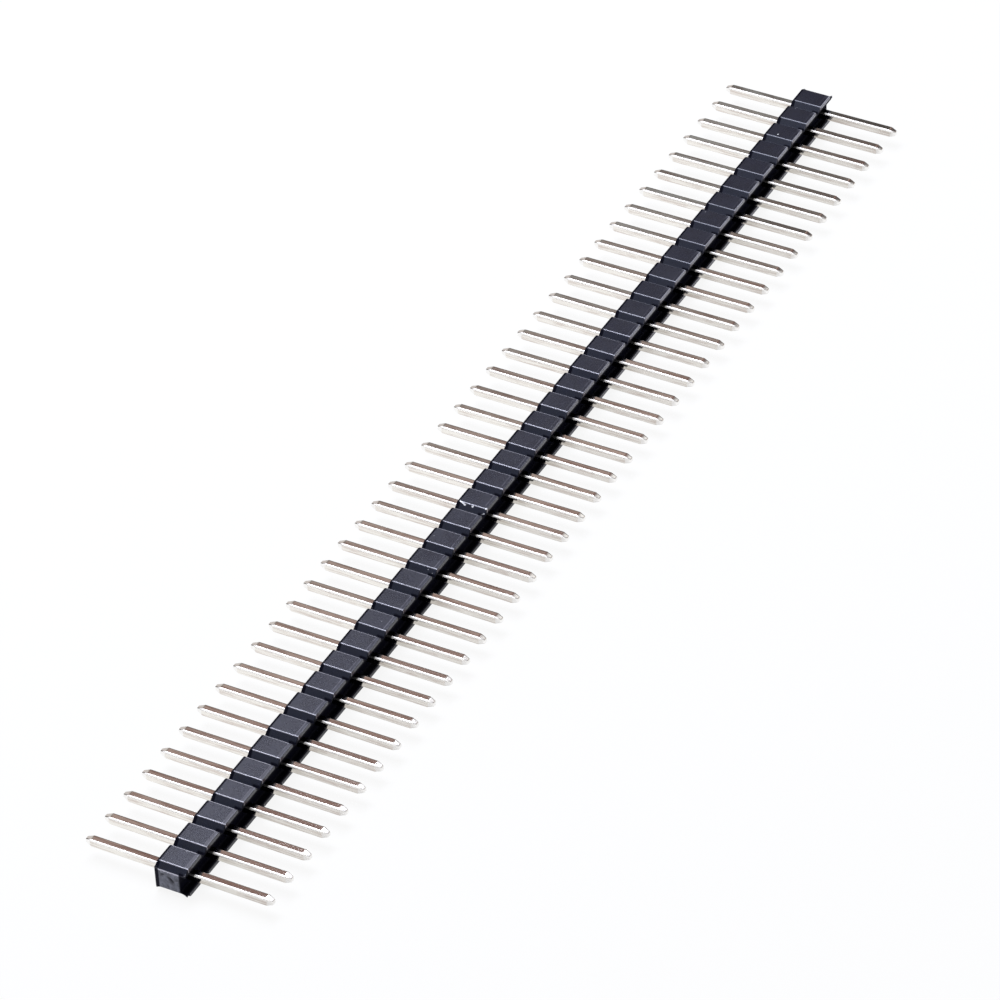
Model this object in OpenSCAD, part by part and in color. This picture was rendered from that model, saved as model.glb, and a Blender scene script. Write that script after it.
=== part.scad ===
// Single-row straight pin header strip, lying on one side of its housing.
// +X runs along the row, the feet that stand on the board face -Y and the
// contact side of the pins points along +Y.  The origin is at the centre of the
// strip, on the surface that it lies on.  Millimetres.

/* [Row] */
// Number of pins in the strip
pin_count = 40; // [2:1:58]
// Spacing of the pins along the row
pitch = 2.54; // [2.3:0.01:3.2]

/* [Housing] */
// Thickness of the housing across the row
body_thickness = 2.5; // [2.1:0.1:3.5]
// Depth of the housing along the pins, feet included
body_depth = 2.5; // [2.1:0.1:4]
// Depth of the V grooves where the strip is snapped to length
groove_depth = 0.445; // [0.2:0.005:0.5]
// Thickness of each of the two feet
foot_thickness = 0.5; // [0.5:0.01:0.7]
// Height of the feet, which is the depth of the channel between them
foot_height = 0.5; // [0.2:0.01:1]

/* [Groove webs] */
// Length of the web that fills each end of a groove
web_length = 0.45; // [0.2:0.05:0.6]
// Rise of the web above the bottom of the groove
web_rise = 0.2; // [0.05:0.05:0.2]

/* [Pins] */
// Width across the flats of the square pins
pin_width = 0.64; // [0.5:0.01:0.8]
// Radius of the long edges of a pin
pin_edge_radius = 0.11; // [0.02:0.01:0.2]
// Pin length below the feet, the tail that is soldered
tail_length = 6.25; // [2:0.25:20]
// Pin length above the housing, the end that is plugged in
contact_length = 6.25; // [2:0.25:20]
// Length of the taper at each end of a pin
tip_length = 0.5; // [0.2:0.05:1.5]
// Width across the flats at the very end of a pin
tip_width = 0.32; // [0.1:0.01:0.45]

/* [Fit] */
// Room on each side between a pin and its hole; the pins are a press fit
pin_clearance = 0; // [0:0.01:0.08]

/* [Hidden] */
$fn = 48;
strip_length = pin_count * pitch;
half_depth = body_depth / 2;
half_thickness = body_thickness / 2;
groove_level = half_thickness - groove_depth;
web_level = groove_level + web_rise;
// Flat crest of a web beside the face of the housing
web_crest = 0.05;
// Fillet that runs the web out into the bottom of the groove
web_run = web_length - web_crest;
web_radius = (web_run * web_run + web_rise * web_rise) / (2 * web_rise);
pin_length = tail_length + body_depth + contact_length;
// The housing sits between the pin ends, so it moves off centre if they differ
body_y = (tail_length - contact_length) / 2;
hole_width = pin_width + 2 * pin_clearance;
hole_radius = pin_edge_radius + pin_clearance;
// How far a cutting shape runs past what it cuts
overrun = 1;

function pin_name(i) = str("pin_", i < 10 ? "0" : "", i);
function pin_x(i) = (i - (pin_count + 1) / 2) * pitch;

// Lays a shape drawn in X and Z along the Y axis, centred on it
module along_y(length) {
    rotate([90, 0, 0])
        linear_extrude(height = length, center = true) children();
}

// Lays a shape drawn in Y and Z along the X axis, centred on it
module along_x(length) {
    rotate([90, 0, 90])
        linear_extrude(height = length, center = true) children();
}

// Square with its four corners rounded, centred
module rounded_square(width, radius) {
    straight = width - 2 * radius;
    square([width, straight], center = true);
    square([straight, width], center = true);
    for (x = [-1, 1], y = [-1, 1])
        translate([x, y] * straight / 2) circle(r = radius);
}

// Outline along the strip: one flat land over each pin, a V groove between two
module grooved_outline() {
    land_end = pitch / 2 - groove_depth;
    upper_edge = [
        for (i = [1:pin_count], k = [-2, -1, 1])
            [pin_x(i) + (k == -2 ? -pitch / 2 : k * land_end), k == -2 ? groove_level : half_thickness]
    ];
    upper = concat(upper_edge, [[strip_length / 2, groove_level]]);
    lower = [for (i = [len(upper) - 1:-1:0]) [upper[i][0], -upper[i][1]]];
    polygon(concat(upper, lower));
}

// Section across the strip at a groove, with the webs at its two ends
module web_outline() {
    middle = half_depth - web_length;
    difference() {
        square([body_depth, 2 * web_level], center = true);
        for (side = [-1, 1])
            translate([0, side * (groove_level + web_radius)]) {
                square([2 * middle, 2 * web_radius], center = true);
                for (end = [-1, 1])
                    translate([end * middle, 0]) circle(r = web_radius);
            }
    }
}

// Channel between the feet, along the whole strip
module foot_channel() {
    channel_width = body_thickness - 2 * foot_thickness;
    translate([0, foot_height / 2 - half_depth - overrun / 2, 0])
        cube([strip_length + 2 * overrun, foot_height + overrun, channel_width], center = true);
}

// Moulded insulator that holds the pins
module housing() {
    color("#2b2c33")
        translate([0, body_y, half_thickness])
            difference() {
                union() {
                    along_y(body_depth) grooved_outline();
                    along_x(strip_length) web_outline();
                }
                foot_channel();
                for (i = [1:pin_count])
                    translate([pin_x(i), 0, 0])
                        along_y(body_depth + 2 * overrun) rounded_square(hole_width, hole_radius);
            }
}

// Side view of a pin, tapered at both ends
module tapered_outline() {
    shoulder = pin_length / 2 - tip_length;
    polygon([
        [-pin_length / 2, -tip_width / 2], [-shoulder, -pin_width / 2],
        [shoulder, -pin_width / 2], [pin_length / 2, -tip_width / 2],
        [pin_length / 2, tip_width / 2], [shoulder, pin_width / 2],
        [-shoulder, pin_width / 2], [-pin_length / 2, tip_width / 2]
    ]);
}

// One square pin, whole from the soldered tip to the contact tip
module pin(i) {
    color("#c9c3bb")
        translate([pin_x(i), 0, half_thickness])
            intersection() {
                along_y(pin_length) rounded_square(pin_width, pin_edge_radius);
                along_x(pin_width + overrun) tapered_outline();
                rotate([0, 0, 90])
                    linear_extrude(height = pin_width + overrun, center = true) tapered_outline();
            }
}

housing();
for (i = [1:pin_count])
    pin(i);
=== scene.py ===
"""Single-row pin header strip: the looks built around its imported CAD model."""

import math
import random
from types import SimpleNamespace

import bmesh
import bpy
from bpy.props import FloatProperty, FloatVectorProperty, IntProperty, PointerProperty
from mathutils import Matrix, Vector, geometry, noise


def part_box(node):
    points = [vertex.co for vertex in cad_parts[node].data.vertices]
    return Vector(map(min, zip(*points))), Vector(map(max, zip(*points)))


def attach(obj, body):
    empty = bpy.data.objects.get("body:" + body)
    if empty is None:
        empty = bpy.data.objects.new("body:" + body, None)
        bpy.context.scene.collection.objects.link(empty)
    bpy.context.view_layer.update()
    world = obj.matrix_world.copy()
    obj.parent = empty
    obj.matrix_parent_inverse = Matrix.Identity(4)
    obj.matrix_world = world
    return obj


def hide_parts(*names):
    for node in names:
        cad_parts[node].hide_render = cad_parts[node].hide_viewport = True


bl_info = {
    "name": "Pin Header Strip",
    "version": (1, 0, 0),
    "blender": (4, 5, 0),
    "location": "View3D > Sidebar > Pin Header",
    "description": "Builds a single-row pin header strip with its plastic and tin finishes",
    "category": "Add Mesh",
}

MM = 0.001

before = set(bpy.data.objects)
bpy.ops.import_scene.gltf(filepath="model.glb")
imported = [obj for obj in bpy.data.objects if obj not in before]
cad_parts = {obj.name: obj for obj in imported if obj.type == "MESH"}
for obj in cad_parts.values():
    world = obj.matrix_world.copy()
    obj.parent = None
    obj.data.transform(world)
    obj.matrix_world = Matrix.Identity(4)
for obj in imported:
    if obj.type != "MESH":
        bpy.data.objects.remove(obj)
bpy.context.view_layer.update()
PIN_NODES = sorted(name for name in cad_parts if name.startswith("pin_"))

BODY_LOW, BODY_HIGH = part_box("housing")
PIN_LOW, PIN_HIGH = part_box(PIN_NODES[0])
PIN_COUNT = len(PIN_NODES)
PITCH = (BODY_HIGH.x - BODY_LOW.x) / PIN_COUNT
AXIS_HEIGHT = ((PIN_LOW + PIN_HIGH) / 2).z
HALF_THICKNESS = (BODY_HIGH.z - BODY_LOW.z) / 2


# ---------------------------------------------------------------- settings

def length(name, description, default):
    return FloatProperty(
        name=name, description=description, default=default,
        subtype="DISTANCE", unit="LENGTH", precision=5,
    )


def colour(name, description, default):
    return FloatVectorProperty(
        name=name, description=description, default=default,
        subtype="COLOR", size=3, min=0, max=1,
    )


def factor(name, description, default):
    return FloatProperty(
        name=name, description=description, default=default,
        subtype="FACTOR", min=0, max=1,
    )


class HousingSettings(bpy.types.PropertyGroup):
    groove_depth: length("Groove Depth", "Depth of the snap-off grooves", 0.445 * MM)
    web_length: length("Web Length", "Length of the web at the foot end of a groove", 0.20 * MM)
    web_rise: length("Web Rise", "Rise of a web above the groove", 0.03 * MM)
    foot_thickness: length("Foot Thickness", "Thickness of each foot", 0.5 * MM)
    foot_height: length("Foot Height", "Height of the feet", 0.5 * MM)
    foot_ridge: length("Foot Ridge", "Distance of the faint ridge from the foot's edge", 0.28 * MM)
    hole_width: length("Hole Width", "Width of the square pin holes", 0.65 * MM)
    contact_rounding: length(
        "Contact Side Rounding", "Edge radius beside the contact face", 0.18 * MM)
    foot_rounding: length("Foot Rounding", "Edge radius of the tips of the feet", 0.035 * MM)
    channel_rounding: length("Channel Rounding", "Radius in the corners of the channel", 0.2 * MM)
    land_rounding: length(
        "Land Rounding", "Half width of the rounding where a land meets a groove", 0.05 * MM)
    plastic: colour("Plastic", "Colour of the moulded plastic", (0.002, 0.0036, 0.0125))
    fracture: colour("Fracture", "Colour of the snapped ends", (0.120, 0.123, 0.150))
    dust: colour("Dust", "Colour of dust specks", (0.55, 0.55, 0.57))
    roughness: factor("Roughness", "Roughness of the plastic", 0.28)


class PinSettings(bpy.types.PropertyGroup):
    edge_radius: length("Edge Radius", "Radius of the long edges", 0.125 * MM)
    tip_length: length("Tip Length", "Length of the tapered tips", 0.5 * MM)
    tip_width: length("Tip Width", "Width at the very end of a tip", 0.32 * MM)
    tip_rounding: length("Tip Rounding", "Radius around the end of a tip", 0.06 * MM)
    roll: FloatProperty(
        name="Roll", description="Largest turn of a pin about its axis",
        default=math.radians(0.5), subtype="ANGLE", unit="ROTATION")
    lean: FloatProperty(
        name="Lean", description="Largest lean of a pin off its axis",
        default=math.radians(0.1), subtype="ANGLE", unit="ROTATION")
    seed: IntProperty(name="Seed", description="Seed of the small irregularities", default=7)
    tin: colour("Tin", "Colour of the tin plate", (0.88, 0.85, 0.785))
    tarnish: colour("Tarnish", "Colour of tarnished tin", (0.50, 0.40, 0.35))
    roughness: factor("Roughness", "Roughness of the tin plate", 0.07)


class StageSettings(bpy.types.PropertyGroup):
    camera_place: FloatVectorProperty(
        name="Camera Place", description="Where the camera stands",
        default=(-0.308291, -0.176798, 0.283683), subtype="TRANSLATION", unit="LENGTH", size=3)
    camera_aim: FloatVectorProperty(
        name="Camera Aim", description="Point that the camera looks at",
        default=(-0.004495, -0.000829, 0.00125), subtype="TRANSLATION", unit="LENGTH", size=3)
    camera_roll: FloatProperty(
        name="Camera Roll", description="Turn of the camera about its line of sight",
        default=math.radians(-3.103), subtype="ANGLE", unit="ROTATION")
    camera_lens: FloatProperty(
        name="Lens", description="Focal length", default=220.765,
        subtype="DISTANCE_CAMERA", unit="CAMERA")
    softbox_place: FloatVectorProperty(
        name="Softbox Place", description="Centre of the overhead softbox",
        default=(0.100, 0.1180, 0.400), subtype="TRANSLATION", unit="LENGTH", size=3)
    softbox_length: length("Softbox Length", "Long side of the softbox", 0.38)
    softbox_width: length("Softbox Width", "Short side of the softbox", 0.156)
    softbox_power: FloatProperty(
        name="Softbox Power", description="Power of the softbox",
        default=2.15, min=0, subtype="POWER", unit="POWER")
    softbox_tint: colour("Softbox Tint", "Tint of both lights", (0.85, 0.885, 1.0))
    strip_place: FloatVectorProperty(
        name="Strip Light Place", description="Centre of the overhead strip light",
        default=(-0.020, 0.240, 0.400), subtype="TRANSLATION", unit="LENGTH", size=3)
    strip_length: length("Strip Light Length", "Long side of the strip light", 0.22)
    strip_width: length("Strip Light Width", "Short side of the strip light", 0.085)
    strip_power: FloatProperty(
        name="Strip Light Power", description="Power of the strip light",
        default=0.45, min=0, subtype="POWER", unit="POWER")
    fill: FloatProperty(
        name="Fill", description="Strength of the light from all around", default=0.2, min=0)
    floor_width: length("Floor Width", "Side of the square floor", 4.0)
    floor: colour("Floor", "Colour of the floor", (0.90, 0.90, 0.90))
    backdrop: colour("Backdrop", "Colour of the backdrop", (0.997, 0.997, 0.997))
    shadow: factor("Shadow", "Share of the floor's look that comes from the light on it", 0.10)
    # Painted shadow on the floor beside the feet, seen only in reflections
    painted_mirrored_shadow: colour(
        "Mirrored Dim", "Colour of the floor beside the feet, as reflections show it",
        (0.74, 0.73, 0.72))
    mirrored_shadow: factor(
        "Mirrored Shadow", "The same share for the floor seen in a reflection", 0.30)


# ---------------------------------------------------------------- shader maths

class Value:
    """Output socket of a node, used in arithmetic as if it were a number."""

    def __init__(self, net, socket):
        self.net = net
        self.socket = socket

    def __add__(self, other):
        return self.net.math("ADD", self, other)

    def __sub__(self, other):
        return self.net.math("SUBTRACT", self, other)

    def __rsub__(self, other):
        return self.net.math("SUBTRACT", other, self)

    def __mul__(self, other):
        return self.net.math("MULTIPLY", self, other)

    def __truediv__(self, other):
        return self.net.math("DIVIDE", self, other)

    __radd__ = __add__
    __rmul__ = __mul__


class Net:
    """Nodes of one tree, added one by one."""

    def __init__(self, tree):
        self.tree = tree
        tree.nodes.clear()

    @staticmethod
    def find(sockets, key):
        if isinstance(key, int):
            return sockets[key]
        by_identifier = [s for s in sockets if s.identifier == key]
        return (by_identifier or [s for s in sockets if s.name == key])[0]

    def add(self, kind, settings=None, inputs=None, out=0):
        """Adds a node: its settings first, then what its sockets hold or are linked to."""
        node = self.tree.nodes.new(kind)
        for name, setting in (settings or {}).items():
            if name == "stops":
                self.set_stops(node.color_ramp, setting)
            else:
                setattr(node, name, setting)
        for key, given in (inputs or {}).items():
            socket = self.find(node.inputs, key)
            if isinstance(given, Value):
                self.tree.links.new(given.socket, socket)
            else:
                socket.default_value = given
        return Value(self, self.find(node.outputs, out)) if node.outputs else None

    @staticmethod
    def set_stops(ramp, stops):
        while len(ramp.elements) < len(stops):
            ramp.elements.new(0.5)
        for element, (place, tone) in zip(ramp.elements, stops):
            element.position = place
            element.color = (*tone, 1)

    def math(self, operation, first, second=0.0):
        return self.add("ShaderNodeMath", {"operation": operation}, {0: first, 1: second})

    def vector(self, operation, first, second=None, scale=None, out="Vector"):
        inputs = {0: first}
        if second is not None:
            inputs[1] = second
        if scale is not None:
            inputs["Scale"] = scale
        return self.add("ShaderNodeVectorMath", {"operation": operation}, inputs, out)

    def split(self, vector):
        """X, Y and Z of a vector."""
        x = self.add("ShaderNodeSeparateXYZ", inputs={"Vector": vector}, out="X")
        outputs = x.socket.node.outputs
        return x, Value(self, outputs["Y"]), Value(self, outputs["Z"])

    def mix(self, share, first, second):
        """Colour between two colours."""
        first, second = (c if isinstance(c, Value) else (*c, 1) for c in (first, second))
        return self.add(
            "ShaderNodeMix", {"data_type": "RGBA"},
            {"Factor_Float": share, "A_Color": first, "B_Color": second}, "Result_Color")

    def fade(self, value, low, high, start=0.0, end=1.0):
        """Smooth step of a value from start at low to end at high."""
        return self.add(
            "ShaderNodeMapRange", {"interpolation_type": "SMOOTHSTEP"},
            {"Value": value, "From Min": low, "From Max": high, "To Min": start, "To Max": end},
            "Result")

    def grain(self, place, scale, detail=2.0, roughness=0.5):
        return self.add(
            "ShaderNodeTexNoise", inputs={
                "Vector": place, "Scale": scale, "Detail": detail, "Roughness": roughness}, out=0)

    def millimetres(self):
        """Place on the part, in millimetres."""
        place = self.add("ShaderNodeTexCoord", out="Object")
        return self.vector("SCALE", place, scale=1000.0)

    def attribute(self, name):
        return self.add("ShaderNodeAttribute", {"attribute_name": name}, out="Fac")


def new_material(name):
    material = bpy.data.materials.new(name)
    material.use_nodes = True
    return material, Net(material.node_tree)


def toned(tone, share):
    """Colour made darker or lighter by a share."""
    return tuple(share * c for c in tone)


# ---------------------------------------------------------------- finishes
# Places in the finishes are millimetres: X from the middle of the row, the near end at
# -X, and Y and Z as on the part. A fade runs between the two places given to it.

# Painted highlights and sheen on the plastic, its whitened and nicked places, and the painted
# shade of what lies too deep to be lit
RIDGE_HIGHLIGHT = (0.24, 0.235, 0.28)
FOOT_FACE_LIGHT_NEAR = (0.040, 0.041, 0.056)
FOOT_FACE_LIGHT_FAR = (0.37, 0.37, 0.42)
FOOT_SHEEN = (0.045, 0.043, 0.052)
EDGE_HIGHLIGHT_NEAR = (0.70, 0.68, 0.74)
EDGE_HIGHLIGHT_FAR = (0.43, 0.42, 0.47)
CORNER_HIGHLIGHT_TONE = (0.33, 0.33, 0.38)
WHITENED = (0.75, 0.73, 0.80)
NICKED = (0.97, 0.97, 0.98)
DEEP_SHADE = (0.005, 0.005, 0.010)

# Tin lightened as a painted highlight at the tips and along the upper edge, and darkened as
# painted shade where the channel shades it
TIN_HIGHLIGHT = (0.96, 0.95, 0.92)
SHADED_TIN = (0.015, 0.015, 0.018)
SHADED_LENGTH = 0.14

# Pale nicks on the upper side: start, end and half width
NICKS = (
    ((-7.16, 0.98), (-7.30, 0.50), 0.034),
    ((-7.27, -0.08), (-7.25, -0.12), 0.050),
    ((-7.18, -1.14), (-7.16, -1.20), 0.050),
    ((-7.57, -0.92), (-7.47, -1.14), 0.024),
    ((43.95, 0.18), (43.97, 0.17), 0.035),
    ((-48.36, -1.10), (-48.32, -1.12), 0.035),
)


def stroke(net, x, y, start, end, width):
    """1 along a short stroke, fading to 0 beside it."""
    run_x, run_y = end[0] - start[0], end[1] - start[1]
    from_x, from_y = x - start[0], y - start[1]
    share = net.add("ShaderNodeClamp", inputs={
        "Value": (from_x * run_x + from_y * run_y) / (run_x ** 2 + run_y ** 2)})
    off_x, off_y = from_x - share * run_x, from_y - share * run_y
    distance = net.math("SQRT", off_x * off_x + off_y * off_y)
    return net.fade(distance, width + 0.03, width - 0.01)


def nicks(net, x, y, z):
    """1 in the nicks on the upper side."""
    nicked = 0.0
    for start, end, width in NICKS:
        nicked = net.math("MAXIMUM", nicked, stroke(net, x, y, start, end, width))
    axis = AXIS_HEIGHT / MM
    return nicked * net.fade(z, axis + 0.25, axis + 0.35)


def from_unit_centre(net, x):
    """Place along the row from the middle of the nearest unit."""
    along_row = x / (PITCH / MM) + PIN_COUNT
    return (along_row - net.math("FLOOR", along_row) - 0.5) * (PITCH / MM)


def housing_zones(net, settings, x, y, z):
    """Masks of the places on the housing that look different from the rest."""
    contact_y, foot_y = BODY_HIGH.y / MM, BODY_LOW.y / MM
    ridge_y = (BODY_LOW.y + settings.foot_ridge) / MM
    channel_y = (BODY_LOW.y + settings.foot_height) / MM
    channel_top = (HALF_THICKNESS - settings.foot_thickness) / MM
    land_top = HALF_THICKNESS / MM
    land_end = (PITCH / 2 - settings.groove_depth) / MM
    off_axis = net.math("ABSOLUTE", z - AXIS_HEIGHT / MM)
    off_centre = net.math("ABSOLUTE", from_unit_centre(net, x))
    off_ridge = net.math("ABSOLUTE", y - ridge_y)
    on_land = net.fade(off_axis, land_top - 0.06, land_top - 0.02)
    above_edge = y - on_land * 0.07
    return SimpleNamespace(
        on_unit=net.fade(off_centre, land_end + 0.12, land_end - 0.02),
        ridge=(1 - net.fade(off_ridge, 0.015, 0.05)) * on_land,
        past_ridge=net.fade(y, ridge_y + 0.03, ridge_y - 0.03) * on_land,
        corner=net.fade(y, ridge_y + 0.01, ridge_y - 0.11),
        foot_face=net.fade(y, foot_y + 0.06, foot_y + 0.03),
        channel=(net.fade(y, channel_y + 0.15, channel_y + 0.01)
                 * net.fade(off_axis, channel_top + 0.25, channel_top + 0.13)),
        contact_edge=(net.fade(above_edge, contact_y - 0.36, contact_y - 0.26)
                      * net.fade(y, contact_y - 0.004, contact_y - 0.012)),
    )


def moulded_plastic(settings):
    """Black plastic with a fine grain, nicks and dust, painted highlights and painted shade, and
    paler where it was snapped.
    """
    material, net = new_material("black_moulded_plastic")
    place = net.millimetres()
    x, y, z = net.split(place)
    zone = housing_zones(net, settings, x, y, z)
    snapped = net.attribute("fracture")
    nicked = nicks(net, x, y, z)
    cloud = net.grain(place, 0.35, 3.0)
    fine = net.grain(place, 9.0, 3.0, 0.6)
    mottle = net.grain(place, 2.2, 3.0, 0.55)
    specks = net.add(
        "ShaderNodeTexVoronoi", {"feature": "F1"},
        {"Vector": place, "Scale": 1.1, "Randomness": 1.0}, "Distance")
    dust = (1 - net.fade(specks, 0.022, 0.05)) * net.fade(cloud, 0.50, 0.56)

    # Painted highlights, painted sheen and painted light on the feet and edges, most of it
    # stronger towards the near end
    # Painted highlight along the faint ridge, stronger towards the near end
    ridge_highlight = (zone.ridge * net.fade(mottle, 0.30, 0.62, 0.3, 1.0)
                  * net.fade(x, 30.0, -25.0, 0.2, 1.0))
    # Painted light on the faces of the feet: dark at the near end, bright towards the far end
    foot_face_light = net.mix(net.fade(x, -8.0, 24.0), FOOT_FACE_LIGHT_NEAR, FOOT_FACE_LIGHT_FAR)
    # Painted sheen on the foot zone past the ridge at the near end
    foot_sheen = zone.past_ridge * net.fade(x, -30.0, -46.0)
    # Painted highlight along the edges of the lands, brighter towards the near end; the same mask
    # makes the edges smoother
    worn_edge = net.attribute("worn_edge") * net.fade(x, 34.0, -2.0)
    edge_highlight_tone = net.mix(net.fade(x, -20.0, -46.0), EDGE_HIGHLIGHT_FAR, EDGE_HIGHLIGHT_NEAR)
    # Painted highlight at the far corners of the feet, stronger towards the far end
    worn_corner = (net.attribute("worn_corner") * zone.corner
                   * net.fade(x, -12.0, 20.0, 0.15, 0.8))

    torn = net.mix(net.fade(net.grain(place, 3.2, 4.0, 0.65), 0.30, 0.72),
                   toned(settings.fracture, 0.50), toned(settings.fracture, 1.75))
    # Painted shade darkens the hollows of the snapped end
    torn = net.mix(net.attribute("pit"), torn, toned(settings.plastic, 0.5))
    torn = net.mix(net.attribute("whitened"), torn, WHITENED)

    shade = net.mix(net.fade(mottle, 0.3, 0.7),
                    toned(settings.plastic, 0.82), toned(settings.plastic, 1.18))
    for share, tone in (
            (ridge_highlight * 0.4, RIDGE_HIGHLIGHT), (zone.foot_face * 0.9, foot_face_light),
            (foot_sheen * 0.9, FOOT_SHEEN), (worn_edge, edge_highlight_tone),
            (worn_corner, CORNER_HIGHLIGHT_TONE), (nicked, NICKED), (snapped, torn),
            (dust * 0.9, tuple(settings.dust))):
        shade = net.mix(share, shade, tone)

    rough = settings.roughness + (fine - 0.5) * 0.10 + (cloud - 0.5) * 0.10
    rough = rough + zone.past_ridge * net.fade(x, 20.0, -35.0, -0.01, 0.03)
    rough = rough + snapped * 0.25 + dust * 0.3 - worn_edge * 0.16
    grain = fine * 0.6 + mottle * 0.2 + snapped * net.grain(place, 7.0, 4.0, 0.7) * 0.6
    bump = net.add("ShaderNodeBump", inputs={
        "Strength": 0.35, "Distance": 0.012 * MM, "Height": grain}, out="Normal")
    plastic = net.add("ShaderNodeBsdfPrincipled", inputs={
        "Base Color": shade, "Roughness": rough, "Normal": bump,
        "IOR": 1.6, "Specular Tint": (0.885, 0.90, 1.0, 1)}, out="BSDF")
    unlit = net.add("ShaderNodeBsdfDiffuse", inputs={"Color": (*DEEP_SHADE, 1)}, out="BSDF")
    # Painted shade: the channel, a thin line beside the contact face and the foot faces at the
    # grooves turn to a near-black unlit surface
    painted_shade = net.math("MAXIMUM", zone.channel * 0.95, zone.contact_edge * 0.92 * (1 - nicked))
    painted_shade = net.math("MAXIMUM", painted_shade, zone.foot_face * (1 - zone.on_unit) * 0.85)
    shader = net.add(
        "ShaderNodeMixShader", inputs={0: painted_shade, 1: plastic, 2: unlit}, out="Shader")
    net.add("ShaderNodeOutputMaterial", inputs={"Surface": shader})
    return material


def tin_plate(settings):
    """Warm silver tin with lines drawn along the pins and a little tarnish."""
    material, net = new_material("tin_plate")
    place = net.millimetres()
    x, y, z = net.split(place)
    axis = AXIS_HEIGHT / MM
    half_width = (PIN_HIGH.x - PIN_LOW.x) / 2 / MM
    flat_end = half_width - settings.edge_radius / MM
    middle_y = (PIN_HIGH.y + PIN_LOW.y) / 2 / MM
    shoulder = ((PIN_HIGH.y - PIN_LOW.y) / 2 - settings.tip_length) / MM
    channel_mouth = BODY_LOW.y / MM
    off_axis = net.math("ABSOLUTE", z - axis)
    upper_edge = (net.fade(from_unit_centre(net, x), 0.015 - flat_end, -0.025 - flat_end)
                  * net.fade(z, axis + flat_end - 0.025, axis + flat_end + 0.025))
    tip = net.fade(net.math("ABSOLUTE", y - middle_y), shoulder, shoulder + 0.1)
    near_solder_tip = tip * net.fade(x, -5.0, -40.0) * net.fade(y, 0.0, -1.0)
    shaded = (net.fade(y, channel_mouth - SHADED_LENGTH, channel_mouth - 0.02)
              * net.fade(y, channel_mouth + 1.25, channel_mouth + 1.0))

    pin_number = net.math("FLOOR", x / (PITCH / MM) + PIN_COUNT)
    own = net.add("ShaderNodeTexWhiteNoise", {"noise_dimensions": "1D"}, {"W": pin_number},
                  "Value")
    stretched = net.vector("MULTIPLY", place, (8.0, 0.35, 8.0))
    lines = net.grain(stretched, 1.0, 4.0, 0.6)
    patches = net.grain(place, 0.55, 3.0, 0.6)
    freckles = net.grain(place, 4.0, 3.0, 0.65)

    dull = net.fade(patches, 0.48, 0.72) * 0.28 + net.fade(freckles, 0.62, 0.75) * 0.3
    dull = dull + net.fade(lines, 0.49, 0.58) * 0.70 + own * 0.12
    dull = dull * net.fade(off_axis, half_width - 0.08, half_width - 0.02, 0.6, 1.0)
    shade = net.mix(dull, tuple(settings.tin), tuple(settings.tarnish))
    # Painted highlight: the tips and the upper edge of each pin are made brighter
    shade = net.mix(net.math("MAXIMUM", tip * 0.8, upper_edge * 0.9), shade, TIN_HIGHLIGHT)
    shade = net.mix(shaded * 0.92, shade, SHADED_TIN)
    rough = settings.roughness + (lines - 0.5) * 0.16 + (patches - 0.5) * 0.10 + own * 0.04
    rough = rough + upper_edge * 0.62 + near_solder_tip * 0.30
    bump = net.add("ShaderNodeBump", inputs={
        "Strength": 0.12, "Distance": 0.01 * MM, "Height": lines * 0.8 + freckles * 0.1},
        out="Normal")
    shader = net.add("ShaderNodeBsdfPrincipled", inputs={
        "Base Color": shade, "Metallic": 1.0, "Roughness": rough, "Normal": bump},
        out="BSDF")
    net.add("ShaderNodeOutputMaterial", inputs={"Surface": shader})
    return material


# ---------------------------------------------------------------- row of equal units

def row_tree():
    """Geometry Nodes that repeat a unit along the row, each copy turned a little."""
    tree = bpy.data.node_groups.new("row_of_units", "GeometryNodeTree")
    net = Net(tree)
    declared = (
        ("Geometry", "INPUT", "NodeSocketGeometry"), ("Count", "INPUT", "NodeSocketInt"),
        ("Pitch", "INPUT", "NodeSocketFloat"), ("Turn", "INPUT", "NodeSocketVector"),
        ("Seed", "INPUT", "NodeSocketInt"), ("Weld", "INPUT", "NodeSocketFloat"),
        ("Material", "INPUT", "NodeSocketMaterial"), ("Geometry", "OUTPUT", "NodeSocketGeometry"),
    )
    for name, direction, kind in declared:
        tree.interface.new_socket(name=name, in_out=direction, socket_type=kind)
    unit = net.add("NodeGroupInput", out="Geometry")
    given = {s.name: Value(net, s) for s in unit.socket.node.outputs}
    count, pitch, turn = given["Count"], given["Pitch"], given["Turn"]
    step = net.add("ShaderNodeCombineXYZ", inputs={"X": pitch})
    start = net.add("ShaderNodeCombineXYZ", inputs={"X": (count - 1) * pitch * -0.5})
    line = net.add("GeometryNodeMeshLine", inputs={
        "Count": count, "Start Location": start, "Offset": step})
    random_turn = net.add(
        "FunctionNodeRandomValue", {"data_type": "FLOAT_VECTOR"},
        {"Min": net.vector("SCALE", turn, scale=-1.0), "Max": turn, "Seed": given["Seed"]})
    rotation = net.add("FunctionNodeEulerToRotation", inputs={"Euler": random_turn})
    copies = net.add("GeometryNodeInstanceOnPoints", inputs={
        "Points": line, "Instance": unit, "Rotation": rotation})
    real = net.add("GeometryNodeRealizeInstances", inputs={"Geometry": copies})
    welded = net.add("GeometryNodeMergeByDistance", inputs={
        "Geometry": real, "Distance": given["Weld"]})
    finished = net.add("GeometryNodeSetMaterial", inputs={
        "Geometry": welded, "Material": given["Material"]})
    net.add("NodeGroupOutput", inputs={"Geometry": finished})
    return tree


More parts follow.
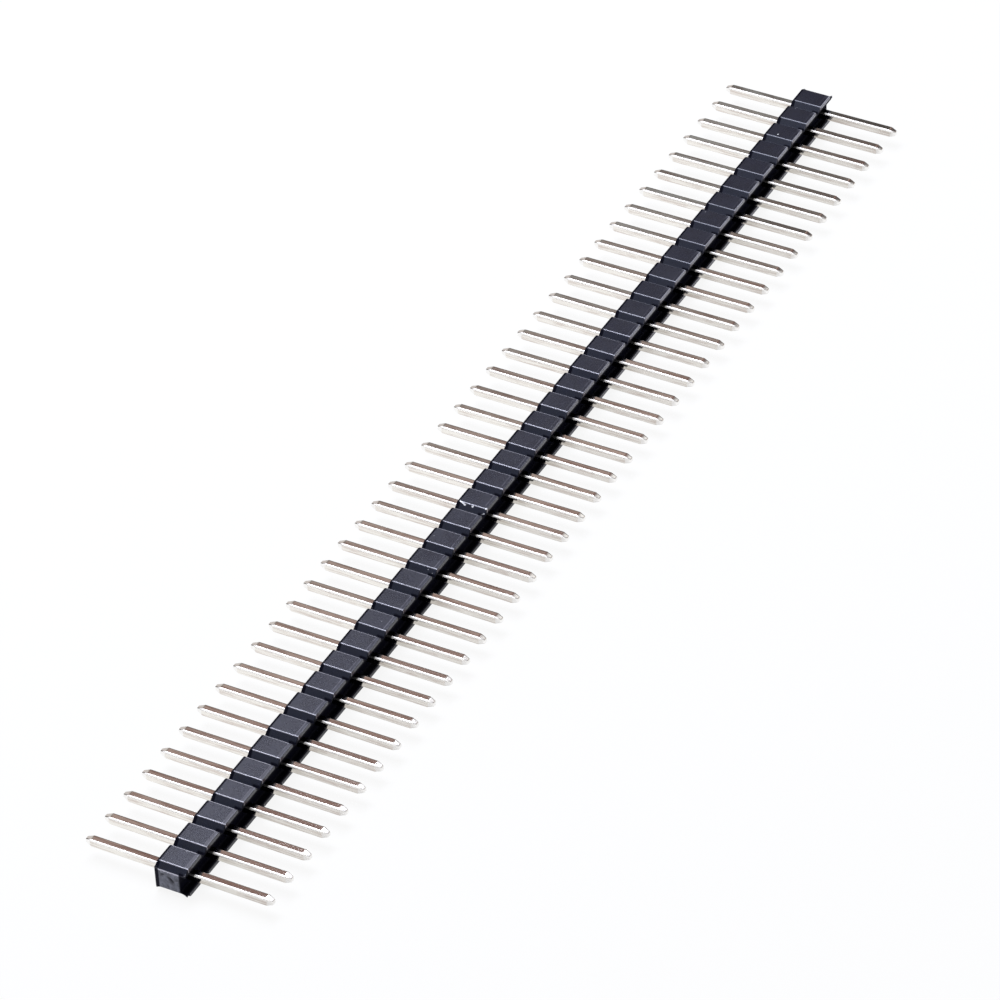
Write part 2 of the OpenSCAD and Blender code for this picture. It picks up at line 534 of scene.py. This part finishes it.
def repeat_unit(name, unit_mesh, material, turn=(0, 0, 0), seed=0, weld=0.0):
    """New object with the unit repeated over the row as one plain mesh."""
    holder = bpy.data.objects.new(name + "_unit", unit_mesh)
    bpy.context.scene.collection.objects.link(holder)
    modifier = holder.modifiers.new("row", "NODES")
    modifier.node_group = row_tree()
    values = {"Count": PIN_COUNT, "Pitch": PITCH, "Turn": turn, "Seed": seed,
              "Weld": weld, "Material": material}
    for socket in modifier.node_group.interface.items_tree:
        if socket.in_out == "INPUT" and socket.name in values:
            modifier[socket.identifier] = values[socket.name]
    graph = bpy.context.evaluated_depsgraph_get()
    mesh = bpy.data.meshes.new_from_object(holder.evaluated_get(graph), depsgraph=graph)
    mesh.name = name
    mesh.materials.clear()
    mesh.materials.append(material)
    mesh.polygons.foreach_set("material_index", [0] * len(mesh.polygons))
    bpy.data.objects.remove(holder)
    bpy.data.meshes.remove(unit_mesh)
    piece = bpy.data.objects.new(name, mesh)
    bpy.context.scene.collection.objects.link(piece)
    return piece


# ---------------------------------------------------------------- housing

# Where the top of a section is sampled beside its two long edges, from the edge inwards
NEAR_EDGE = (0.17, 0.23, 0.29, 0.35, 0.40, 0.45)
FOOT_SUPPORT = 0.11
# Flat places that keep the faces round the hole even
CONTACT_SUPPORT, CHANNEL_SUPPORT = 0.55 * MM, 0.45 * MM
# Where a unit has its sections: round the end of a land, counted in its rounding, and
# down the flank, as a share of the way to the next unit
LAND_STATIONS = (-1.25, -1, -0.5, 0, 0.5, 1, 1.25)
FLANK_STATIONS = (0.26, 0.39, 0.52, 0.65, 0.78, 0.90, 1.0)
WEB_BLEND = 0.03 * MM
# Strength of the wear and painted highlight on the two edges of a land, and how far the painted
# highlight spreads at the corner of a foot
NEAR_EDGE_WEAR_AND_HIGHLIGHT, FAR_EDGE_WEAR_AND_HIGHLIGHT, CORNER_HIGHLIGHT_SPREAD = 0.85, 1.4, 1.4

# Torn face of a snapped end: spacing of its points, how far along the strip it tells,
# size and depth of its relief, and the pale band along its top
FRACTURE_STEP = 0.055 * MM
FRACTURE_REACH = 0.4 * MM
TORN_SIZE, TORN_DEPTH = 0.22 * MM, 0.022 * MM
WHITENED_BAND = 0.075 * MM
# Corners that flare up, and the border that is drawn back beside the contact face
FLARE_WIDTH, FLARE_RUN, FLARE_HEIGHT = 0.42 * MM, 0.2 * MM, 0.19 * MM
DRAWN_WIDTH, DRAWN_BACK = 0.22 * MM, 0.03 * MM
# Hollows in the near end, a slanting dent and a short nick, in millimetres from the pin
# axis: middle in Y and Z, half length, half width, slant in radians and depth
HOLLOWS = (
    (-0.03, 0.12, 0.25, 0.085, 0.72, 0.14),
    (0.63, 0.42, 0.14, 0.065, -0.33, 0.09),
)
PIT_SHADE_DEPTH = 0.045 * MM


def soft_minimum(a, b, blend):
    """Smaller of two heights, with the crease between them rounded."""
    near = max(blend - abs(a - b), 0.0) / blend
    return min(a, b) - near * near * blend / 4


def soft_maximum(a, b, blend):
    return -soft_minimum(-a, -b, blend)


def arc(steps):
    """Cosine and sine of evenly spaced angles over a quarter turn."""
    return [(math.cos(k * math.pi / 2 / steps), math.sin(k * math.pi / 2 / steps))
            for k in range(steps + 1)]


class HousingShape:
    """Height of the housing over its pin axis, and its section at any place."""

    def __init__(self, settings):
        self.s = settings
        self.half_depth = (BODY_HIGH.y - BODY_LOW.y) / 2
        self.middle_y = (BODY_HIGH.y + BODY_LOW.y) / 2
        self.land_end = PITCH / 2 - settings.groove_depth
        self.groove_level = HALF_THICKNESS - settings.groove_depth
        self.web_start = self.half_depth - settings.web_length

    def height(self, x, y):
        """Height of the top: the land, the flank of the groove or the web in it."""
        s = self.s
        flank = HALF_THICKNESS - (abs(x) - self.land_end)
        groove = soft_minimum(HALF_THICKNESS, flank, s.land_rounding)
        past = max(self.middle_y - y - self.web_start, 0.0) / s.web_length
        web = self.groove_level + s.web_rise * past ** 1.5
        return max(soft_maximum(groove, web, WEB_BLEND), self.groove_level)

    def section(self, x):
        """Closed outline across the strip, from the contact face over the top to the channel."""
        s = self.s
        past_land = max(abs(x) - self.land_end, 0.0) / s.groove_depth
        sharper = 1 - 0.5 * past_land
        contact_y = self.middle_y + self.half_depth
        foot_y = self.middle_y - self.half_depth
        channel_y = foot_y + s.foot_height
        inner = HALF_THICKNESS - s.foot_thickness
        hole = s.hole_width / 2
        outer, foot, bend = (
            s.contact_rounding * sharper, s.foot_rounding * sharper, s.channel_rounding)
        upper = [(contact_y, hole), (contact_y, CONTACT_SUPPORT),
                 (contact_y, self.height(x, contact_y) - outer - 0.02 * MM)]
        for c, sn in arc(4):
            y = contact_y - outer * (1 - c)
            upper.append((y, self.height(x, y) - outer * (1 - sn)))
        top = [contact_y - d * MM for d in NEAR_EDGE] + [self.middle_y]
        top += [foot_y + d * MM for d in reversed((FOOT_SUPPORT, *NEAR_EDGE))]
        upper += [(y, self.height(x, y)) for y in top]
        for c, sn in reversed(arc(3)):
            y = foot_y + foot * (1 - c)
            upper.append((y, self.height(x, y) - foot * (1 - sn)))
        upper.append((foot_y, self.height(x, foot_y) - foot - 0.01 * MM))
        upper += [(foot_y + foot * (1 - c), inner + foot * (1 - sn)) for c, sn in arc(3)]
        upper += [(channel_y - bend + bend * sn, inner - bend + bend * c) for c, sn in arc(5)]
        upper += [(channel_y, CHANNEL_SUPPORT), (channel_y, hole)]
        return upper + [(y, -z) for y, z in reversed(upper)]

    def stations(self):
        """Places along a unit where its section is taken."""
        edge, end = self.land_end, PITCH / 2
        half = [self.s.hole_width / 2]
        half += [edge + k * self.s.land_rounding for k in LAND_STATIONS]
        half += [edge + share * (end - edge) for share in FLANK_STATIONS]
        return [-x for x in reversed(half)] + half


def housing_unit(shape):
    """One unit of the housing round one pin, open where it meets its neighbours."""
    grid = bmesh.new()
    places = shape.stations()
    rings = []
    edge_wear_and_highlight_layer = grid.verts.layers.float.new("worn_edge")
    worn_corner = grid.verts.layers.float.new("worn_corner")
    for x in places:
        ring = [grid.verts.new((x, y, z + AXIS_HEIGHT)) for y, z in shape.section(x)]
        rings.append(ring)
        off_edge = abs(abs(x) - shape.land_end) / shape.s.land_rounding
        for v in ring:
            on_top = abs(v.co.z - AXIS_HEIGHT) > shape.groove_level
            past_foot = BODY_LOW.y + shape.s.foot_ridge - v.co.y
            # The edges of the lands take wear and a painted highlight, the far corners of the feet
            # a painted highlight
            if on_top and (x < 0 or past_foot < 0):
                v[edge_wear_and_highlight_layer] = max(0.0, 1 - off_edge) * (NEAR_EDGE_WEAR_AND_HIGHLIGHT if x < 0 else FAR_EDGE_WEAR_AND_HIGHLIGHT)
            elif on_top:
                v[worn_corner] = max(0.0, CORNER_HIGHLIGHT_SPREAD - off_edge)
    count = len(rings[0])
    contact_gap, channel_gap = count - 1, count // 2 - 1
    hole = places.index(-shape.s.hole_width / 2)
    for i in range(len(rings) - 1):
        a, b = rings[i], rings[i + 1]
        for k in range(count):
            if i == hole and k in (contact_gap, channel_gap):
                continue
            n = (k + 1) % count
            grid.faces.new((a[k], b[k], b[n], a[n]))
    low, high = rings[hole], rings[hole + 1]
    contact = [low[count - 1], low[0], high[0], high[count - 1]]
    channel = [low[channel_gap + 1], low[channel_gap], high[channel_gap], high[channel_gap + 1]]
    for k in range(4):
        n = (k + 1) % 4
        grid.faces.new((contact[k], contact[n], channel[n], channel[k]))
    bmesh.ops.recalc_face_normals(grid, faces=grid.faces)
    mesh = bpy.data.meshes.new("housing_unit")
    grid.to_mesh(mesh)
    grid.free()
    return mesh


def deep_inside(spot, outline, margin):
    """Whether a point lies inside an outline, at least a margin away from it."""
    inside = False
    for a, b in zip(outline, outline[1:] + outline[:1]):
        if (a.y > spot.y) != (b.y > spot.y):
            if spot.x < a.x + (spot.y - a.y) * (b.x - a.x) / (b.y - a.y):
                inside = not inside
        nearest, share = geometry.intersect_point_line(spot, a, b)
        nearest = a if share < 0 else b if share > 1 else nearest
        if (spot - nearest.to_2d()).length < margin:
            return False
    return inside


def scattered_inside(outline, step):
    """Points a step apart, each moved a little, that lie well inside an outline."""
    rng = random.Random(11)
    low, high = BODY_LOW, BODY_HIGH
    inside = []
    for j in range(1, int((high.y - low.y) / step)):
        for k in range(1, int((high.z - low.z) / step)):
            spot = Vector((low.y + (j + rng.uniform(-0.3, 0.3)) * step,
                           low.z + (k + rng.uniform(-0.3, 0.3)) * step))
            if deep_inside(spot, outline, 0.6 * step):
                inside.append(spot)
    return inside


def cap_end(body, shape, side):
    """Closes one snapped end of the housing with a face fine enough to be roughened."""
    end_x = side * PITCH * PIN_COUNT / 2
    loop = [v for v in body.verts if abs(v.co.x - end_x) < 0.001 * MM]
    rim = []
    for y, z in shape.section(PITCH / 2):
        spot = Vector((end_x, y, z + AXIS_HEIGHT))
        rim.append(min(loop, key=lambda v: (v.co - spot).length_squared))
    flat = [Vector((v.co.y, v.co.z)) for v in rim]
    edges = [(k, (k + 1) % len(flat)) for k in range(len(flat))]
    coords, _, faces, origins, _, _ = geometry.delaunay_2d_cdt(
        flat + scattered_inside(flat, FRACTURE_STEP), edges, [], 1, 0.0001 * MM)
    verts = []
    for spot, source in zip(coords, origins):
        on_rim = [o for o in source if o < len(rim)]
        verts.append(rim[on_rim[0]] if on_rim else body.verts.new((end_x, spot.x, spot.y)))
    made = []
    for face in faces:
        corners = [verts[k] for k in (face if side > 0 else reversed(face))]
        made.append(body.faces.new(corners))
    return made


def pit_depth(y, z):
    """Depth of the hollows left in a snapped end."""
    deepest = 0.0
    for middle_y, middle_z, half_length, half_width, slant, depth in HOLLOWS:
        dy, dz = y / MM - middle_y, (z - AXIS_HEIGHT) / MM - middle_z
        along = dy * math.cos(slant) + dz * math.sin(slant)
        across = -dy * math.sin(slant) + dz * math.cos(slant)
        reach = (along / half_length) ** 2 + (across / half_width) ** 2
        deepest = max(deepest, depth * math.exp(-reach))
    return deepest * MM


def corner_flare(to_corner, inward):
    """How far the thin corners of a snapped end were pulled up as it broke."""
    spread = max(0.0, 1 - to_corner / FLARE_WIDTH) * max(0.0, 1 - inward / FLARE_RUN)
    return FLARE_HEIGHT * spread ** 1.5


def edge_rounding(to_edge):
    """How far a snapped end is drawn back beside the contact face."""
    if to_edge >= DRAWN_WIDTH:
        return 0.0
    return DRAWN_BACK * (1 - math.sqrt(max(0.0, 1 - (1 - to_edge / DRAWN_WIDTH) ** 2)))


def roughen_end(body, caps, shape, side):
    """Gives a snapped end its torn relief, its hollows and its flared corners."""
    end_x = side * PITCH * PIN_COUNT / 2
    fracture = body.verts.layers.float["fracture"]
    pit = body.verts.layers.float["pit"]
    whitened = body.verts.layers.float["whitened"]
    cap_verts = {v for face in caps for v in face.verts}
    level = shape.groove_level
    for v in body.verts:
        inward = abs(end_x - v.co.x)
        if inward > FRACTURE_REACH:
            continue
        to_edge = BODY_HIGH.y - v.co.y
        off_axis = v.co.z - AXIS_HEIGHT
        if v not in cap_verts or v.is_boundary or abs(off_axis) > level - 0.02 * MM:
            lift = corner_flare(min(to_edge, v.co.y - BODY_LOW.y), inward)
            if abs(off_axis) > level - 0.12 * MM:
                v.co.z += math.copysign(lift, off_axis)
        shift = edge_rounding(to_edge) * (1 - inward / FRACTURE_REACH) ** 2
        if v in cap_verts:
            spot = Vector((v.co.y, v.co.z, side * 3 * MM)) / TORN_SIZE
            torn = 0.5 + 0.5 * noise.fractal(spot, 0.9, 2.1, 4)
            hollow = pit_depth(v.co.y, v.co.z) if side < 0 else 0.0
            on_rim = any(not (set(f.verts) <= cap_verts) for f in v.link_faces)
            if not on_rim:
                shift += TORN_DEPTH * min(max(torn, 0.0), 1.0) + hollow
            if off_axis > level - WHITENED_BAND:
                v[whitened] = 1.0
            v[fracture] = 1.0
            v[pit] = min(hollow / PIT_SHADE_DEPTH, 1.0)
        v.co.x -= side * shift


class HEADER_OT_housing(bpy.types.Operator):
    """Build the moulded housing with its grooves, feet and snapped ends"""
    bl_idname = "header.housing"
    bl_label = "Build Housing"

    def execute(self, context):
        settings = context.scene.header_housing
        shape = HousingShape(settings)
        piece = repeat_unit(
            "housing_body", housing_unit(shape), moulded_plastic(settings), weld=0.002 * MM)
        body = bmesh.new()
        body.from_mesh(piece.data)
        body.verts.layers.float.new("fracture")
        body.verts.layers.float.new("pit")
        body.verts.layers.float.new("whitened")
        for side in (-1, 1):
            roughen_end(body, cap_end(body, shape, side), shape, side)
        for face in body.faces:
            face.smooth = True
        body.to_mesh(piece.data)
        body.free()
        piece.data.set_sharp_from_angle(angle=math.radians(38))
        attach(piece, "root")
        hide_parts("housing")
        return {"FINISHED"}


# ---------------------------------------------------------------- pins

# Room left at each end of a pin, so that its lean keeps it inside its length
END_ROOM = 0.01 * MM
SMALLEST_END = 0.03 * MM
# Bend where the flats turn into the taper: place past the shoulder and drop of the flat
SHOULDER_BEND = ((-0.10 * MM, 0.0), (-0.03 * MM, 0.002 * MM), (0.03 * MM, 0.012 * MM))


def pin_ring(half_width, radius):
    """Outline of a square pin with rounded edges, in X and Z."""
    ring = []
    straight = half_width - radius
    support = max(straight - 0.02 * MM, 0.2 * straight)
    for quarter in range(4):
        turn = quarter * math.pi / 2
        corner = [(half_width, support)]
        corner += [(straight + radius * c, straight + radius * s) for c, s in arc(5)]
        corner += [(support, half_width)]
        for x, z in corner:
            ring.append((x * math.cos(turn) - z * math.sin(turn),
                         x * math.sin(turn) + z * math.cos(turn)))
    return ring


def pin_profile(settings, half_length, half_width):
    """Half widths along one half of a pin, from past its middle to its end."""
    tip = settings.tip_width / 2
    bend = settings.tip_rounding
    shoulder = half_length - settings.tip_length
    slope = (half_width - tip) / settings.tip_length
    end_start = half_length - bend
    profile = [(shoulder + past, half_width - drop) for past, drop in SHOULDER_BEND]
    profile.append((end_start - 0.05 * MM, tip + slope * (bend + 0.05 * MM)))
    for c, s in arc(4)[:-1]:
        profile.append((end_start + bend * s, tip + slope * bend * (1 - s) - bend * (1 - c)))
    profile.append((half_length, max(tip - bend, SMALLEST_END)))
    return profile


def pin_mesh(settings):
    """One square pin with tapered and rounded tips, lying along Y."""
    middle_y = (PIN_HIGH.y + PIN_LOW.y) / 2
    half_width = (PIN_HIGH.x - PIN_LOW.x) / 2
    half = pin_profile(settings, (PIN_HIGH.y - PIN_LOW.y) / 2 - END_ROOM, half_width)
    grid = bmesh.new()
    rings = []
    for y, width in [(-y, w) for y, w in reversed(half)] + half:
        radius = settings.edge_radius * min(1.0, (width / half_width) ** 0.8)
        rings.append([grid.verts.new((x, y + middle_y, z + AXIS_HEIGHT))
                      for x, z in pin_ring(width, radius)])
    for a, b in zip(rings, rings[1:]):
        for k in range(len(a)):
            n = (k + 1) % len(a)
            grid.faces.new((a[k], a[n], b[n], b[k]))
    for ring in (rings[0], rings[-1]):
        centre = grid.verts.new(sum((v.co for v in ring), Vector()) / len(ring))
        for k in range(len(ring)):
            grid.faces.new((ring[k], ring[(k + 1) % len(ring)], centre))
    bmesh.ops.recalc_face_normals(grid, faces=grid.faces)
    mesh = bpy.data.meshes.new("pin")
    grid.to_mesh(mesh)
    grid.free()
    return mesh


class HEADER_OT_pins(bpy.types.Operator):
    """Build the square pins with their tapered tips"""
    bl_idname = "header.pins"
    bl_label = "Build Pins"

    def execute(self, context):
        settings = context.scene.header_pins
        mesh = pin_mesh(settings)
        mesh.transform(Matrix.Translation((0, 0, -AXIS_HEIGHT)))
        piece = repeat_unit(
            "pins", mesh, tin_plate(settings),
            turn=(settings.lean, settings.roll, settings.lean), seed=settings.seed)
        piece.data.transform(Matrix.Translation((0, 0, AXIS_HEIGHT)))
        piece.data.polygons.foreach_set("use_smooth", [True] * len(piece.data.polygons))
        piece.data.set_sharp_from_angle(angle=math.radians(50))
        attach(piece, "root")
        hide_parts(*PIN_NODES)
        return {"FINISHED"}


# ---------------------------------------------------------------- stage

# Tones of the studio walls as the strip mirrors them, by how far up a reflection points
MAIN_WALL = (
    (0.050, (0.03, 0.027, 0.027)), (0.350, (0.06, 0.05, 0.05)),
    (0.500, (0.12, 0.110, 0.110)), (0.570, (0.31, 0.320, 0.330)),
    (0.600, (0.30, 0.265, 0.255)), (0.636, (0.46, 0.355, 0.330)),
    (0.675, (0.24, 0.150, 0.135)), (0.800, (0.30, 0.270, 0.270)),
    (1.000, (0.45, 0.450, 0.480)),
)
SIDE_WALL = (
    (0.050, (0.95, 0.94, 0.92)), (0.480, (0.95, 0.94, 0.92)), (0.570, (0.20, 0.22, 0.27)),
    (0.690, (0.18, 0.20, 0.26)), (0.760, (0.78, 0.80, 0.90)), (1.000, (0.80, 0.80, 0.85)),
)
LOW_FRONT = (0.90, 0.89, 0.87)
# Patches on the walls: direction, cosines of its outer and inner edge, strength and tone
WALL_PATCHES = (
    ((0.745, 0.335, 0.577), 0.9991, 0.9997, 0.85, (0.05, 0.05, 0.05)),
    ((0.757, -0.045, 0.652), 0.990, 0.998, 0.80, (0.05, 0.05, 0.05)),
    ((0.62, -0.08, 0.78), 0.988, 0.996, 1.00, (1.0, 0.98, 0.97)),
    ((0.62, 0.73, 0.29), 0.950, 0.985, 1.00, (0.62, 0.58, 0.57)),
)
FLOOR_DROP = 0.01 * MM


def seen_directly(net):
    """1 for what the camera shows, and 1 for what it, a reflection or clear matter shows."""
    camera = net.add("ShaderNodeLightPath", out="Is Camera Ray")
    outputs = camera.socket.node.outputs
    glossy = Value(net, outputs["Is Glossy Ray"])
    clear = Value(net, outputs["Is Transmission Ray"])
    return camera, net.math("MAXIMUM", net.math("MAXIMUM", camera, glossy), clear)


def pale_floor(settings):
    """Floor that is seen as a plain pale ground and still takes a soft shadow."""
    material, net = new_material("pale_floor")
    camera, seen = seen_directly(net)
    plainly = camera * (1 - settings.shadow) + (seen - camera) * (1 - settings.mirrored_shadow)
    place = net.add("ShaderNodeTexCoord", out="Object")
    soft = net.fade(net.grain(place, 6.0, 2.0), 0.3, 0.7)
    pale = net.mix(soft, toned(settings.floor, 0.985), tuple(settings.floor))
    lit = net.add("ShaderNodeBsdfDiffuse", inputs={"Color": pale}, out="BSDF")
    # Painted shadow: reflections see the floor beside the pins darker
    y = net.split(place)[1]
    beside_pins = (net.fade(y, -0.5 * MM, -2.5 * MM)
                   * net.fade(y, PIN_LOW.y - 0.2 * MM, PIN_LOW.y + 0.3 * MM))
    mirrored = net.mix(beside_pins, tuple(settings.backdrop), tuple(settings.painted_mirrored_shadow))
    plain = net.add("ShaderNodeEmission", inputs={
        "Color": net.mix(camera, mirrored, tuple(settings.backdrop)), "Strength": 1.0},
        out="Emission")
    shader = net.add("ShaderNodeMixShader", inputs={
        0: plainly, 1: lit, 2: plain}, out="Shader")
    net.add("ShaderNodeOutputMaterial", inputs={"Surface": shader})
    return material


def studio_world(settings):
    """Pale backdrop to look at, dim studio walls to reflect, and an even fill."""
    world = bpy.data.worlds.new("studio")
    world.use_nodes = True
    net = Net(world.node_tree)
    backdrop = tuple(settings.backdrop)
    camera, seen = seen_directly(net)
    direction = net.add("ShaderNodeTexCoord", out="Generated")
    sideways, across, upward = net.split(direction)
    main_stops = ((0.000, backdrop), (0.015, backdrop), *MAIN_WALL)
    side_stops = ((0.000, backdrop), *SIDE_WALL)
    main_wall, side_wall = (
        net.add("ShaderNodeValToRGB", {"stops": stops}, {"Fac": upward}, "Color")
        for stops in (main_stops, side_stops))
    walls = net.mix(net.fade(sideways, -0.20, -0.45), main_wall, side_wall)
    low_front = net.fade(across, -0.02, -0.14) * net.fade(upward, 0.62, 0.45)
    walls = net.mix(low_front * 0.9, walls, LOW_FRONT)
    for toward, outer, inner, strength, tone in WALL_PATCHES:
        facing = net.vector("DOT_PRODUCT", direction, toward, out="Value")
        walls = net.mix(net.fade(facing, outer, inner) * strength, walls, tone)
    shown = net.mix(camera, walls, backdrop)
    tone = net.mix(seen, (settings.fill,) * 3, shown)
    background = net.add("ShaderNodeBackground", inputs={"Color": tone, "Strength": 1.0},
                         out="Background")
    net.add("ShaderNodeOutputWorld", inputs={"Surface": background})
    return world


def aimed(place, aim, roll=0.0):
    """Placement that looks from one point to another."""
    place, aim = Vector(place), Vector(aim)
    turn = (aim - place).to_track_quat("-Z", "Y").to_matrix().to_4x4()
    return Matrix.Translation(place) @ turn @ Matrix.Rotation(roll, 4, "Z")


class HEADER_OT_stage(bpy.types.Operator):
    """Build the floor, the light and the camera"""
    bl_idname = "header.stage"
    bl_label = "Build Stage"

    def execute(self, context):
        settings = context.scene.header_stage
        scene = context.scene
        half = settings.floor_width / 2
        corners = [(-half, -half), (half, -half), (half, half), (-half, half)]
        mesh = bpy.data.meshes.new("floor")
        mesh.from_pydata([(x, y, -FLOOR_DROP) for x, y in corners], [], [(0, 1, 2, 3)])
        mesh.materials.append(pale_floor(settings))
        floor = bpy.data.objects.new("floor", mesh)
        scene.collection.objects.link(floor)

        for name in ("softbox", "strip"):
            lamp = bpy.data.lights.new(name, "AREA")
            lamp.shape = "RECTANGLE"
            lamp.size = getattr(settings, name + "_length")
            lamp.size_y = getattr(settings, name + "_width")
            lamp.energy = getattr(settings, name + "_power")
            lamp.color = settings.softbox_tint
            light = bpy.data.objects.new(name, lamp)
            light.location = getattr(settings, name + "_place")
            scene.collection.objects.link(light)

        scene.world = studio_world(settings)
        scene.view_settings.view_transform = "Standard"

        lens = bpy.data.cameras.new("camera")
        lens.lens = settings.camera_lens
        lens.sensor_width = 36.0
        lens.clip_start = 0.01
        lens.clip_end = 50.0
        camera = bpy.data.objects.new("camera", lens)
        camera.matrix_world = aimed(
            settings.camera_place, settings.camera_aim, settings.camera_roll)
        scene.collection.objects.link(camera)
        scene.camera = camera
        return {"FINISHED"}


# ---------------------------------------------------------------- add-on

class HEADER_PT_panel(bpy.types.Panel):
    """Sizes, finishes and steps of the pin header strip"""
    bl_idname = "HEADER_PT_panel"
    bl_label = "Pin Header Strip"
    bl_space_type = "VIEW_3D"
    bl_region_type = "UI"
    bl_category = "Pin Header"

    def draw(self, context):
        for group, operator in (("header_housing", "header.housing"),
                                ("header_pins", "header.pins"),
                                ("header_stage", "header.stage")):
            box = self.layout.box()
            settings = getattr(context.scene, group)
            for name in settings.__annotations__:
                box.prop(settings, name)
            box.operator(operator)


GROUPS = {
    "header_housing": HousingSettings,
    "header_pins": PinSettings,
    "header_stage": StageSettings,
}
CLASSES = (*GROUPS.values(), HEADER_OT_housing, HEADER_OT_pins, HEADER_OT_stage, HEADER_PT_panel)


def register():
    for cls in CLASSES:
        bpy.utils.register_class(cls)
    for name, group in GROUPS.items():
        setattr(bpy.types.Scene, name, PointerProperty(type=group))


def unregister():
    for name in GROUPS:
        delattr(bpy.types.Scene, name)
    for cls in reversed(CLASSES):
        bpy.utils.unregister_class(cls)


def main():
    register()
    bpy.ops.header.stage()
    bpy.ops.header.housing()
    bpy.ops.header.pins()


if __name__ == "__main__":
    main()
